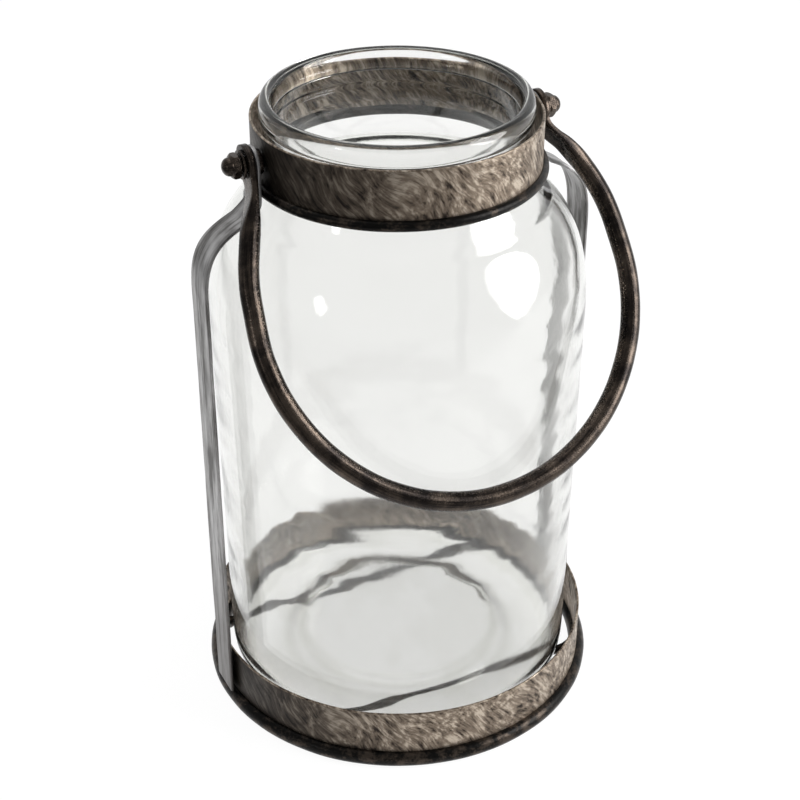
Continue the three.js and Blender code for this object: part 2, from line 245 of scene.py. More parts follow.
def smoothstep(value, low, high):
    t = min(max((value - low) / (high - low), 0.0), 1.0)
    return t * t * (3 - 2 * t)


def ripple(point, size, stretch=(1, 1, 1)):
    """Smooth noise from -1 to 1, whose waves are about size long."""
    return noise.noise(Vector(p / size / s for p, s in zip(point, stretch)))


def outward(point):
    """The unit vector away from the Z axis."""
    away = Vector((point.x, point.y, 0))
    return away.normalized() if away.length > 1e-9 else away


def rounded_box(half_width, half_height, radius, side_steps):
    """A rectangle with rounded corners, anticlockwise, as (across, up) points."""
    radius = min(radius, half_width, half_height)
    corners = []
    for i, (x, y) in enumerate([(1, 1), (-1, 1), (-1, -1), (1, -1)]):
        centre = Vector((x * (half_width - radius), y * (half_height - radius)))
        angles = [(i + step / CORNER_STEPS) * TAU / 4 for step in range(CORNER_STEPS + 1)]
        corners.append([centre + radius * Vector((math.cos(a), math.sin(a))) for a in angles])
    points = []
    for corner, following in zip(corners, corners[1:] + corners[:1]):
        points += corner
        points += [corner[-1].lerp(following[0], k / side_steps) for k in range(1, side_steps)]
    return points


def add_object(name, data):
    made = bpy.data.objects.new(name, data)
    bpy.context.scene.collection.objects.link(made)
    return made


def is_inside_out(mesh):
    """Whether a closed mesh's faces point in, from the sign of the volume that they enclose."""
    total = 0.0
    for face in mesh.polygons:
        corners = [mesh.vertices[i].co for i in face.vertices]
        for a, b in zip(corners[1:], corners[2:]):
            total += corners[0].dot(a.cross(b))
    return total < 0


def skin(name, rings, girth, loop=False):
    """A closed mesh through rings of points, with a UV map in metres: round the ring, then along.
    loop joins the last ring to the first. Otherwise a face closes each end."""
    count = len(rings[0])
    along = [0.0]
    for a, b in zip(rings, rings[1:] + rings[:1]):
        along.append(along[-1] + (b[0] - a[0]).length)
    faces, uvs = [], []
    for i in range(len(rings) if loop else len(rings) - 1):
        here, there = i * count, (i + 1) % len(rings) * count
        for j in range(count):
            k = (j + 1) % count
            faces.append((here + j, here + k, there + k, there + j))
            u, v = girth * j / count, girth * (j + 1) / count
            uvs += [(u, along[i]), (v, along[i]), (v, along[i + 1]), (u, along[i + 1])]
    if not loop:
        faces.append(tuple(reversed(range(count))))
        faces.append(tuple(range((len(rings) - 1) * count, len(rings) * count)))
        uvs += [(0, along[0])] * count + [(0, along[-2])] * count
    mesh = bpy.data.meshes.new(name)
    mesh.from_pydata([p for ring in rings for p in ring], [], faces)
    mesh.uv_layers.new(name="metres").data.foreach_set("uv", [c for uv in uvs for c in uv])
    mesh.polygons.foreach_set("use_smooth", [True] * len(faces))
    mesh.update()
    if is_inside_out(mesh):
        mesh.flip_normals()
    mesh.set_sharp_from_angle(angle=math.radians(50))
    return add_object(name, mesh)


def turned(name, profile, steps=BAND_STEPS, loop=True, shift=None):
    """(radius, height) points turned about Z, starting at the -X side. shift moves each point."""
    rings = []
    for i, (radius, height) in enumerate(profile):
        ring = []
        for j in range(steps):
            angle = math.pi + TAU * j / steps
            point = Vector((radius * math.cos(angle), radius * math.sin(angle), height))
            if shift:
                point += shift(point, i)
            ring.append(point)
        rings.append(ring)
    return skin(name, rings, TAU * max(p[0] for p in profile), loop)


def drilled(piece):
    """Cuts the pivot hole through a piece, along X."""
    reach = 80 * MM
    tool = turned("drill", [(HOLE_RADIUS, -reach), (HOLE_RADIUS, reach)], 40, loop=False)
    tool.data.transform(Matrix.Translation(PIVOT) @ Matrix.Rotation(TAU / 4, 4, "Y"))
    hole = piece.modifiers.new("hole", "BOOLEAN")
    hole.operation = "DIFFERENCE"
    hole.solver = "FAST"
    hole.object = tool
    evaluated = piece.evaluated_get(bpy.context.evaluated_depsgraph_get())
    cut = bpy.data.meshes.new_from_object(evaluated)
    piece.modifiers.clear()
    piece.data = cut
    bpy.data.objects.remove(tool)
    return piece


def install(piece, finish, body, node_name):
    """Gives a piece its material and body, and hides the CAD node that it stands for."""
    piece.data.materials.clear()
    piece.data.materials.append(finish)
    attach(piece, body)
    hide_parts(node_name)


# ---------- node helpers ----------


def node(tree, kind, inputs=(), **settings):
    """Adds a node. inputs pairs a socket's name or number with a value or another node's socket."""
    made = tree.nodes.new(kind)
    for key, value in settings.items():
        setattr(made, key, value)
    for key, value in dict(inputs).items():
        if isinstance(value, bpy.types.NodeSocket):
            tree.links.new(value, made.inputs[key])
        else:
            made.inputs[key].default_value = value
    return made


def material(name, **sockets):
    """A new material's (material, node tree, shader), with plain values set on the shader."""
    made = bpy.data.materials.new(name)
    made.use_nodes = True
    shader = made.node_tree.nodes["Principled BSDF"]
    for key, value in sockets.items():
        shader.inputs[key.replace("_", " ")].default_value = value
    return made, made.node_tree, shader


def place(tree):
    """Positions on the object in metres."""
    return node(tree, "ShaderNodeTexCoord").outputs["Object"]


def metres(tree):
    """The UV map in metres."""
    return node(tree, "ShaderNodeUVMap", uv_map="metres").outputs["UV"]


def split(tree, vector):
    """A vector's X, Y and Z sockets."""
    return node(tree, "ShaderNodeSeparateXYZ", {0: vector}).outputs


def cells(tree, vector, size, turn=0.0):
    """The vector turned about Z and divided by a size in millimetres, to give noise such cells."""
    return node(
        tree,
        "ShaderNodeMapping",
        {"Vector": vector, "Rotation": (0, 0, turn), "Scale": [s * MM for s in size]},
        vector_type="TEXTURE",
    ).outputs["Vector"]


def grain(tree, vector, detail=4.0, roughness=0.6):
    """Noise from 0 to 1 with unit cells."""
    return node(
        tree,
        "ShaderNodeTexNoise",
        {"Vector": vector, "Scale": 1.0, "Detail": detail, "Roughness": roughness},
    ).outputs["Fac"]


def remap(tree, value, low, high, start=0.0, end=1.0):
    """value from low..high to start..end, clamped."""
    return node(
        tree,
        "ShaderNodeMapRange",
        {"Value": value, "From Min": low, "From Max": high, "To Min": start, "To Max": end},
        interpolation_type="SMOOTHSTEP",
    ).outputs["Result"]


def calc(tree, operation, a, b=0.0):
    return node(tree, "ShaderNodeMath", {0: a, 1: b}, operation=operation).outputs[0]


def weighted(tree, a, a_weight, b, b_weight):
    """a and b added up, each times its weight."""
    return calc(tree, "ADD", calc(tree, "MULTIPLY", a, a_weight), calc(tree, "MULTIPLY", b, b_weight))


def length(tree, vector):
    return node(tree, "ShaderNodeVectorMath", {0: vector}, operation="LENGTH").outputs["Value"]


def reach_along(tree, vector, direction):
    """How far a vector reaches along a direction."""
    return node(
        tree, "ShaderNodeVectorMath", {0: vector, 1: direction}, operation="DOT_PRODUCT"
    ).outputs["Value"]


def blend(tree, share, a, b):
    """Colour a where share is 0, and b where it is 1."""
    return node(tree, "ShaderNodeMix", {0: share, 6: a, 7: b}, data_type="RGBA").outputs[2]


def bump(tree, height, depth):
    return node(tree, "ShaderNodeBump", {"Height": height, "Distance": depth}).outputs["Normal"]


def link_looks(tree, shader, colour, roughness, normal):
    """Links what varies over a surface to its shader."""
    tree.links.new(colour, shader.inputs["Base Color"])
    tree.links.new(roughness, shader.inputs["Roughness"])
    tree.links.new(normal, shader.inputs["Normal"])


# ---------- materials ----------


def clear_glass():
    """Clear moulded glass with smudges and a slight grain. It is olive in its thickness, and its
    floor has a haze and rings of painted shade."""
    dull = (0.93, 0.93, 0.925, 1)
    clean = (0.955, 0.955, 0.952, 1)
    olive = (0.42, 0.43, 0.34, 1)
    cloudy = (0.6, 0.6, 0.52, 1)
    made, tree, shader = material(
        "clear_glass", Transmission_Weight=1.0, IOR=1.5, Specular_IOR_Level=0.5
    )
    smudge = grain(tree, cells(tree, place(tree), (22, 22, 30)), detail=3)
    tint = blend(tree, smudge, dull, clean)
    x, y, z = split(tree, place(tree))
    radius = length(tree, node(tree, "ShaderNodeCombineXYZ", {0: x, 1: y}).outputs[0])
    is_floor = remap(tree, z, 11 * MM, 16 * MM, 1.0, 0.0)
    # Painted shade: olive rings where the floor's thick, curved glass looks darker.
    for middle, half_width, strength in FLOOR_RINGS:
        off = calc(tree, "ABSOLUTE", calc(tree, "SUBTRACT", radius, middle * MM))
        ring = remap(tree, off, 0.0, half_width * MM, strength, 0.0)
        tint = blend(tree, calc(tree, "MULTIPLY", ring, is_floor), tint, olive)
    clouds = grain(tree, cells(tree, place(tree), (17, 24, 30)), detail=2)
    haze = remap(tree, clouds, 0.42, 0.62, 0.0, 0.14)
    tint = blend(tree, calc(tree, "MULTIPLY", haze, is_floor), tint, cloudy)
    roughness = remap(tree, smudge, 0.35, 0.75, 0.05, 0.09)
    seeds = grain(tree, cells(tree, place(tree), (4, 4, 6)), detail=2)
    link_looks(tree, shader, tint, roughness, bump(tree, seeds, 0.02 * MM))
    absorb = node(tree, "ShaderNodeVolumeAbsorption", {"Color": (0.6, 0.66, 0.38, 1), "Density": 7.0})
    tree.links.new(absorb.outputs["Volume"], tree.nodes["Material Output"].inputs["Volume"])
    return made


def wandering(tree, uv):
    """The UV map pushed about, so that strokes drawn on it bend."""
    drift = node(tree, "ShaderNodeTexNoise", {"Vector": cells(tree, uv, (42, 42, 42)), "Scale": 1.0})
    push = node(
        tree, "ShaderNodeVectorMath", {0: drift.outputs["Color"], 3: 22 * MM}, operation="SCALE"
    ).outputs[0]
    return node(tree, "ShaderNodeVectorMath", {0: uv, 1: push}, operation="ADD").outputs[0]


def brushed_patina():
    """Brown pewter patina wiped on in slanting strokes and in patches, with painted shade that darkens
    it towards one strap.
    """
    scratch = (0.03, 0.022, 0.02, 1)
    dark = (0.03, 0.022, 0.018, 1)
    brown = (0.24, 0.19, 0.145, 1)
    pale = (0.56, 0.48, 0.39, 1)
    darkest = (0.012, 0.01, 0.009, 1)
    slant = math.radians(-48)
    hair_slant = slant + 0.12
    made, tree, shader = material("brushed_patina", Metallic=0.85)
    uv = metres(tree)
    path = wandering(tree, uv)
    strokes = grain(tree, cells(tree, path, (9, 1.3, 1), slant), detail=5, roughness=0.66)
    hairs = grain(tree, cells(tree, path, (8, 0.32, 1), hair_slant), detail=3, roughness=0.7)
    patches = grain(tree, cells(tree, path, (8, 5, 1), slant), detail=5, roughness=0.65)
    tone = weighted(tree, strokes, 0.6, patches, 0.4)
    colour = blend(tree, remap(tree, tone, 0.37, 0.5), dark, brown)
    colour = blend(tree, remap(tree, tone, 0.49, 0.61), colour, pale)
    colour = blend(tree, remap(tree, hairs, 0.34, 0.46, 0.5, 0.0), colour, scratch)
    # Painted shade darkens the patina where this distance is small. On the inner faces it is made
    # larger.
    side = reach_along(tree, place(tree), UNSHADED_SIDE)
    round_section = split(tree, uv)["Y"]
    inner = remap(tree, round_section, INNER_FACE_END, INNER_FACE_END + 0.5 * MM, 60 * MM, 0.0)
    distance = weighted(tree, calc(tree, "ADD", side, inner), 1.0, patches, 30 * MM)
    darkening = remap(tree, distance, -35 * MM, 40 * MM, 0.9, 0.0)
    roughness = remap(tree, tone, 0.35, 0.65, 0.55, 0.38)
    relief = weighted(tree, strokes, 1.0, hairs, 0.6)
    # Painted shade over the patina, darkest away from the unshaded side.
    colour = blend(tree, darkening, colour, darkest)
    link_looks(tree, shader, colour, roughness, bump(tree, relief, 0.06 * MM))
    return made


def dark_wire():
    """Near black wire, rubbed to bronze here and there."""
    black = (0.005, 0.0045, 0.004, 1)
    bronze = (0.06, 0.046, 0.036, 1)
    made, tree, shader = material("dark_wire", Metallic=0.8)
    spots = grain(tree, cells(tree, place(tree), (5, 5, 3)), detail=5)
    fine = grain(tree, cells(tree, place(tree), (0.8, 0.8, 0.8)), detail=3)
    worn = remap(tree, weighted(tree, spots, 1.0, fine, 0.35), 0.62, 0.85)
    roughness = remap(tree, fine, 0.3, 0.7, 0.28, 0.45)
    colour = blend(tree, worn, black, bronze)
    link_looks(tree, shader, colour, roughness, bump(tree, fine, 0.08 * MM))
    return made


def grey_strap():
    """Grey metal brushed lengthwise, with darker streaks, and darker towards the base."""
    dark = (0.11, 0.105, 0.1, 1)
    grey = (0.48, 0.475, 0.475, 1)
    scratch = (0.05, 0.045, 0.045, 1)
    darkest = (0.045, 0.036, 0.032, 1)
    made, tree, shader = material("grey_strap", Metallic=0.85)
    uv = metres(tree)
    streaks = grain(tree, cells(tree, uv, (1.1, 45, 1)), detail=5, roughness=0.65)
    hairs = grain(tree, cells(tree, uv, (0.3, 18, 1)), detail=3)
    patches = grain(tree, cells(tree, place(tree), (8, 8, 22)), detail=4)
    tone = weighted(tree, streaks, 0.6, patches, 0.4)
    colour = blend(tree, remap(tree, tone, 0.36, 0.6), dark, grey)
    colour = blend(tree, remap(tree, hairs, 0.34, 0.45, 0.6, 0.0), colour, scratch)
    # Darker towards the base.
    darkening = remap(tree, split(tree, place(tree))["Z"], 15 * MM, 80 * MM, 0.75, 0.0)
    roughness = remap(tree, streaks, 0.3, 0.7, 0.5, 0.34)
    relief = calc(tree, "ADD", streaks, hairs)
    colour = blend(tree, darkening, colour, darkest)
    link_looks(tree, shader, colour, roughness, bump(tree, relief, 0.05 * MM))
    return made


def gunmetal():
    """Dark gunmetal with a bronze sheen where hands have polished it."""
    dark = (0.016, 0.013, 0.012, 1)
    bronze = (0.1, 0.078, 0.062, 1)
    made, tree, shader = material("gunmetal", Metallic=0.9)
    patches = grain(tree, cells(tree, place(tree), (9, 9, 9)), detail=5)
    fine = grain(tree, cells(tree, place(tree), (0.7, 0.7, 0.7)), detail=3)
    draw = grain(tree, cells(tree, metres(tree), (0.5, 16, 1)), detail=3)
    tone = weighted(tree, patches, 0.6, draw, 0.4)
    colour = blend(tree, remap(tree, tone, 0.4, 0.64), dark, bronze)
    roughness = remap(tree, fine, 0.3, 0.7, 0.2, 0.34)
    relief = calc(tree, "ADD", fine, draw)
    link_looks(tree, shader, colour, roughness, bump(tree, relief, 0.05 * MM))
    return made


# ---------- the jar ----------


def outside_of_jar():
    """Stretches from the middle of the underside, up the outside, to the foot of the neck."""
    push_up = (PUSH_UP_RADIUS, JAR_BOTTOM + PUSH_UP)
    foot_inner = (FOOT_INNER, JAR_BOTTOM)
    foot_outer = (FOOT_OUTER, JAR_BOTTOM)
    heel = (HEEL_RADIUS, HEEL_HEIGHT)
    shoulder = (BODY_RADIUS, SHOULDER_HEIGHT)
    neck = (NECK_RADIUS, NECK_BASE)
    return [
        (12, push_up),
        (12, near(push_up, 4, 0), near(foot_inner, -5, 0), foot_inner),
        (4, foot_outer),
        (20, near(foot_outer, 5.5, 0), near(heel, 0, -6), heel),
        (94, shoulder),
        (30, near(shoulder, 0.2, 17), near(SHOULDER_TOP, 8, -7), SHOULDER_TOP),
        (20, near(SHOULDER_TOP, -4.3, 3.6), near(neck, 3.2, -7), neck),
    ]


def lip_of_jar():
    """Stretches up the neck, over the rounded lip and down the mouth."""
    lip = (LIP_RADIUS, JAR_TOP)
    mouth = (MOUTH_RADIUS, JAR_TOP)
    return [
        (28, near((NECK_RADIUS, JAR_TOP), 0.1, -7.9)),
        (5, near(lip, -0.5, -7.5), near(lip, -0.1, -6.1)),
        (12, near(lip, 0.3, 0), near(lip, -2.4, 0)),
        (12, near(mouth, 0.4, 0), near(mouth, 0.1, -5)),
        (14, (MOUTH_RADIUS, INNER_NECK_BASE)),
    ]


def inside_of_jar():
    """Stretches down the inside to the middle of the raised floor."""
    neck = (MOUTH_RADIUS, INNER_NECK_BASE)
    body = (INNER_BODY_RADIUS, SHOULDER_HEIGHT)
    moat_outer = (MOAT_OUTER, MOAT_HEIGHT)
    moat_inner = (MOAT_INNER, MOAT_HEIGHT)
    floor_edge = (FLOOR_RADIUS, FLOOR_HEIGHT)
    return [
        (24, near(neck, 0.6, -5.5), near(INNER_SHOULDER, -5.3, 7), INNER_SHOULDER),
        (36, near(INNER_SHOULDER, 7.5, -6.7), near(body, 0.3, 15), body),
        (134, INNER_HEEL),
        (24, near(INNER_HEEL, 0, -6.5), near(moat_outer, 5, 0), moat_outer),
        (4, moat_inner),
        (18, near(moat_inner, -3, 0), near(floor_edge, 4, 0), floor_edge),
        (16, (CENTRE_FACE, FLOOR_HEIGHT)),
    ]


def thread(point):
    """Height of the screw thread on the neck at a point: one bead that climbs round it."""
    turn = (math.atan2(point.y, point.x) + math.pi) / TAU
    height = 0.0
    for lap in range(math.ceil(THREAD_TURNS)):
        travelled = lap + turn
        start = smoothstep(travelled, 0.0, THREAD_FADE)
        end = smoothstep(-travelled, -THREAD_TURNS, THREAD_FADE - THREAD_TURNS)
        off = (point.z - THREAD_BOTTOM - THREAD_PITCH * travelled) / THREAD_HALF_WIDTH
        height += start * end * THREAD_HEIGHT * math.exp(-off * off)
    return height


def outer_waves(point):
    """How far the outside of the moulded glass strays from its outline, with the thread."""
    radius = Vector((point.x, point.y)).length
    if radius < MOUTH_RADIUS - MM:
        return Vector((0, 0, 0))
    by_neck = NECK_RADIUS - MM < radius < LIP_RADIUS
    bead = thread(point) if by_neck and THREAD_ROOM_LOW < point.z < THREAD_ROOM_HIGH else 0.0
    return outward(point) * (bead + 0.05 * MM * ripple(point, 26 * MM))


def inner_waves(point):
    """How far the inside strays: swirls in the floor, and broad waves and ripples up the body."""
    radius = Vector((point.x, point.y)).length
    if radius < MOUTH_RADIUS - MM:
        swirl = ripple(point, 16 * MM) * smoothstep(radius, 2 * MM, 12 * MM)
        return Vector((0, 0, 0.03 * MM * swirl))
    above_heel = smoothstep(point.z, 24 * MM, 60 * MM)
    below_neck = smoothstep(-point.z, -190 * MM, -180 * MM)
    broad = 0.07 * MM * ripple(point, 24 * MM)
    ripples = 0.1 * MM * ripple(point + Vector((0.3, 0, 0)), 6.5 * MM, (3, 3, 1))
    return outward(point) * above_heel * below_neck * (broad + ripples)


def jar():
    start = (CENTRE_FACE, JAR_BOTTOM + PUSH_UP)
    profile = outline(start, *outside_of_jar(), *lip_of_jar(), *inside_of_jar())
    lip = next(i for i, p in enumerate(profile) if p.y > JAR_TOP - 0.01 * MM)

    def waves(point, i):
        return outer_waves(point) if i <= lip else inner_waves(point)

    piece = turned("jar", profile, JAR_STEPS, loop=False, shift=waves)
    install(piece, clear_glass(), "root", "glass_jar")


# ---------- collar and base ----------


def dented(depth, size):
    """A shift that leaves a hand-made surface slightly uneven."""
    return lambda point, i: outward(point) * depth * ripple(point, size)


def strip(name, low, high):
    """A thin upright band that fills a CAD band's box and is brazed into the hoop below it."""
    bottom = low.z - BRAZE_DEPTH
    centre = Vector((high.x - BAND_THICKNESS / 2, (bottom + high.z) / 2))
    section = rounded_box(BAND_THICKNESS / 2, (high.z - bottom) / 2, BAND_EDGE, side_steps=8)
    return turned(name, [centre + p for p in section], shift=dented(0.15 * MM, 14 * MM))


def wire_hoop(name, low, high):
    """A round wire bent to a hoop that fills a CAD hoop's box."""
    half = (high.z - low.z) / 2
    sides = 24
    profile = []
    for i in range(sides):
        angle = TAU * i / sides
        profile.append((high.x - half + half * math.cos(angle), low.z + half + half * math.sin(angle)))
    return turned(name, profile, shift=dented(0.12 * MM, 11 * MM))


def rod(name, low, high):
    """A cross rod under the jar, slightly bent, welded into the hoop at both ends."""
    middle = (low + high) / 2
    radius = (high.z - low.z) / 2
    reach = high.x + WELD_DEPTH
    half_steps = 24
    sides = 20
    rings = []
    for i in range(2 * half_steps + 1):
        x = reach * (i / half_steps - 1)
        swell = WELD_SWELL * math.exp(-(((reach - abs(x)) / WELD_LENGTH) ** 2))
        bend = 0.12 * MM * ripple((x, middle.y, 0), 30 * MM)
        centre = Vector((x, middle.y + bend, middle.z))
        ring = []
        for j in range(sides):
            angle = TAU * j / sides
            arm = Vector((0, math.cos(angle), math.sin(angle)))
            size = radius + swell + 0.05 * MM * ripple(centre + arm * radius, 4 * MM)
            ring.append(centre + arm * size)
        rings.append(ring)
    return skin(name, rings, TAU * radius)


def cradle():
    """The two bands, the two hoops and the cross rods."""
    patina, wire = brushed_patina(), dark_wire()
    collar = drilled(strip("collar", COLLAR_LOW, COLLAR_HIGH))
    install(collar, patina, "root", "collar_band")
    base = strip("base", BASE_LOW, BASE_HIGH)
    install(base, patina, "root", "base_band")
    ring = wire_hoop("collar_ring", COLLAR_HOOP_LOW, COLLAR_HOOP_HIGH)
    install(ring, wire, "root", "collar_hoop")
    foot = wire_hoop("foot_ring", BASE_HOOP_LOW, BASE_HOOP_HIGH)
    install(foot, wire, "root", "base_hoop")
    for side in ("front", "rear"):
        bar = rod(f"rod_{side}", *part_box(f"cross_rod_{side}"))
        install(bar, wire, "root", f"cross_rod_{side}")


# ---------- side straps ----------


def strap_line():
    """The outer face of the strap from the pivot down to the base hoop, as (x, z) points."""
    return outline(
        (STRAP_TOP_REACH, PIVOT.z),
        (6, (STRAP_TOP_REACH, 191 * MM)),
        (8, (STRAP_TOP_REACH, 188.6 * MM), (51 * MM, 187.4 * MM), (54 * MM, 184.9 * MM)),
        (26, (63.5 * MM, 180.5 * MM), (STRAP_REACH, 176 * MM), (STRAP_REACH, 162 * MM)),
        (66, (STRAP_REACH, STRAP_LOW.z)),
    )


def strap_half_width(z):
    full = (STRAP_HIGH.y - STRAP_LOW.y) / 2
    share = smoothstep(-z, -STRAP_TAPER_END, -STRAP_TAPER_START)
    return EAR_RADIUS + (full - EAR_RADIUS) * share


def strap(name):
    """A flat bar that narrows to a rounded ear round the pivot."""
    rows = []
    for i in range(1, EAR_STEPS):
        angle = TAU / 4 * (1 - i / (EAR_STEPS - 0.5))
        z = PIVOT.z + EAR_RADIUS * math.sin(angle)
        rows.append((Vector((STRAP_TOP_REACH, z)), EAR_RADIUS * math.cos(angle)))
    rows += [(point, strap_half_width(point.y)) for point in strap_line()]
    rings = []
    for i, (point, half_width) in enumerate(rows):
        before, after = rows[max(i - 1, 0)][0], rows[min(i + 1, len(rows) - 1)][0]
        along = (after - before).normalized()
        inward = Vector((along.y, -along.x))
        middle = point + inward * STRAP_THICKNESS / 2
        ring = []
        for across in rounded_box(half_width, STRAP_THICKNESS / 2, STRAP_EDGE, side_steps=6):
            spot = middle + inward * across.y
            place_at = Vector((spot.x, across.x, spot.y))
            uneven = 0.1 * MM * ripple(place_at, 13 * MM) + 0.03 * MM * ripple(place_at, 4 * MM)
            ring.append(place_at + Vector((inward.x, 0, inward.y)) * uneven)
        rings.append(ring)
    girth = 2 * (STRAP_HIGH.y - STRAP_LOW.y)
    return drilled(skin(name, rings, girth))


# ---------- pivot hardware ----------


def along_x(piece):
    """Turns a piece made about Z to lie about the pivot axis."""
    piece.data.transform(Matrix.Translation((0, 0, PIVOT.z)) @ Matrix.Rotation(TAU / 4, 4, "Y"))
    return piece


def flat_ring(name, low, high, edge, steps):
    """A ring with rounded edges round the bolt, which fills a CAD ring's box."""
    radius = (high.z - low.z) / 2
    centre = Vector(((HOLE_RADIUS + radius) / 2, (low.x + high.x) / 2))
    section = rounded_box((radius - HOLE_RADIUS) / 2, (high.x - low.x) / 2, edge, side_steps=3)
    return along_x(turned(name, [centre + p for p in section], steps))


def washer(name):
    return flat_ring(name, WASHER_LOW, WASHER_HIGH, WASHER_EDGE, 72)


def spacer(name):
    return flat_ring(name, SPACER_LOW, SPACER_HIGH, SPACER_EDGE, 64)


def bolt(name):
    """A pan-head bolt put through from inside the collar."""
    start, end = BOLT_LOW.x, BOLT_HIGH.x
    shank_start = start + BOLT_HEAD_HEIGHT
    centre_face = 0.3 * MM
    head = (BOLT_HEAD_RADIUS, start)
    tip = (BOLT_RADIUS, end)
    profile = outline(
        (centre_face, start),
        (3, (BOLT_RADIUS, start)),
        (5, near(head, -0.2, 0), near(head, 0, 0.8)),
        (2, (BOLT_HEAD_RADIUS, shank_start)),
        (4, (BOLT_RADIUS, shank_start)),
        (12, near(tip, 0, -0.5)),
        (3, near(tip, -0.4, 0)),
        (3, (centre_face, end)),
    )
    return along_x(turned(name, profile, 48, loop=False))


def cap_nut(name):
    """A hexagon with worn corners under a domed cap."""
    start, end = NUT_LOW.x, NUT_HIGH.x
    size = NUT_HIGH - NUT_LOW
    corner = max(size.y, size.z) / 2
    flat = corner * math.cos(TAU / 12)
    hex_end = start + NUT_HEX_LENGTH
    steps = 30
    sides = 96
    rings = []
    for i in range(steps + 1):
        x = start + (end - start) * (1 - (1 - i / steps) ** 1.6)
        worn = corner - 1.0 * MM * smoothstep(x, hex_end - 0.9 * MM, hex_end + 0.5 * MM)
        worn -= 0.5 * MM * smoothstep(-x, -start - 0.5 * MM, -start)
        past = min(max((x - hex_end) / (end - hex_end), 0.0), 1.0)
        dome = NUT_DOME_RADIUS * math.sqrt(max(1 - past ** 2.3, 0.004))
        domed = smoothstep(x, hex_end - 0.1 * MM, hex_end + 0.35 * MM)
        ring = []
        for j in range(sides):
            angle = TAU * j / sides
            off_flat = (angle + TAU / 12) % (TAU / 6) - TAU / 12
            hexagon = min(flat / math.cos(off_flat), worn)
            radius = hexagon * (1 - domed) + dome * domed
            ring.append(Vector((x, radius * math.sin(angle), PIVOT.z + radius * math.cos(angle))))
        rings.append(ring)
    return skin(name, rings, TAU * corner)


def side_pieces(side, turn, strap_metal, bolt_metal):
    """The strap and pivot hardware of one side, made on the +X side and turned there."""
    makers = {
        "strap": (strap, "side_strap", strap_metal, "grey_strap"),
        "pivot_bolt": (bolt, "bolt", bolt_metal, "gunmetal"),
        "spacer": (spacer, "stand_off", bolt_metal, "gunmetal"),
        "washer": (washer, "outer_washer", bolt_metal, "gunmetal"),
        "cap_nut": (cap_nut, "acorn_nut", bolt_metal, "gunmetal"),
    }
    for node_name, (make, piece_name, metal, slot) in makers.items():
        piece = make(f"{piece_name}_{side}")
        piece.data.transform(Matrix.Rotation(turn, 4, "Z"))
        install(piece, metal, "root", f"{node_name}_{side}")


# ---------- bail handle ----------


def through(points, steps):
    """A centripetal Catmull-Rom curve through points, with so many steps between each pair."""
    first = points[0] * 2 - points[1]
    last = points[-1] * 2 - points[-2]
    guides = [first, *points, last]
    found = [points[0]]
    for a, b, c, d in zip(guides, guides[1:], guides[2:], guides[3:]):
        t1 = (b - a).length ** 0.5
        t2 = t1 + (c - b).length ** 0.5
        t3 = t2 + (d - c).length ** 0.5
        for i in range(1, steps + 1):
            t = t1 + (t2 - t1) * i / steps
            ab = a.lerp(b, t / t1)
            bc = b.lerp(c, (t - t1) / (t2 - t1))
            cd = c.lerp(d, (t - t2) / (t3 - t2))
            abc = ab.lerp(bc, t / t2)
            bcd = bc.lerp(cd, (t - t1) / (t3 - t1))
            found.append(abc.lerp(bcd, (t - t1) / (t2 - t1)))
    return found


def bail_line():
    """The rod's middle line in the bail's own plane, as (x, drop below the pivot axis) points."""
    arc_start = math.asin((BOW_DROP - ARC_START) / BOW_RADIUS)
    points = [Vector((-BAIL_REACH - out * MM, drop * MM)) for drop, out in LEFT_LEG]
    for i in range(BOW_STEPS + 1):
        angle = math.pi + arc_start - (math.pi + 2 * arc_start) * i / BOW_STEPS
        arm = Vector((math.cos(angle), math.sin(angle)))
        points.append(Vector((BOW_SHIFT, BOW_DROP)) + BOW_RADIUS * arm)
    points += [Vector((BAIL_REACH + out * MM, drop * MM)) for drop, out in reversed(RIGHT_LEG)]
    return through(points, 10)


def bail_size(drop):
    """(half thickness, half width, squareness) of the rod at a drop below the pivot axis."""
    roundness = smoothstep(drop, FLAT_END, ROUND_START)
    thick = (EYE_THICKNESS + (BAIL_ROD - EYE_THICKNESS) * roundness) / 2
    wide = BAIL_ROD / 2 * (EYE_WIDENING - (EYE_WIDENING - 1) * roundness)
    eye = math.sqrt(max(EYE_RADIUS**2 - drop**2, 1e-9)) if drop < EYE_RADIUS else 0.0
    if drop < 0:
        wide = eye
    else:
        wide = (wide**8 + eye**8) ** (1 / 8)
    return thick, wide, 2 + 4 * (1 - roundness)


def superellipse(angle, a, b, power):
    cos, sin = math.cos(angle), math.sin(angle)
    return Vector((
        math.copysign(a * abs(cos) ** (2 / power), cos),
        math.copysign(b * abs(sin) ** (2 / power), sin),
    ))


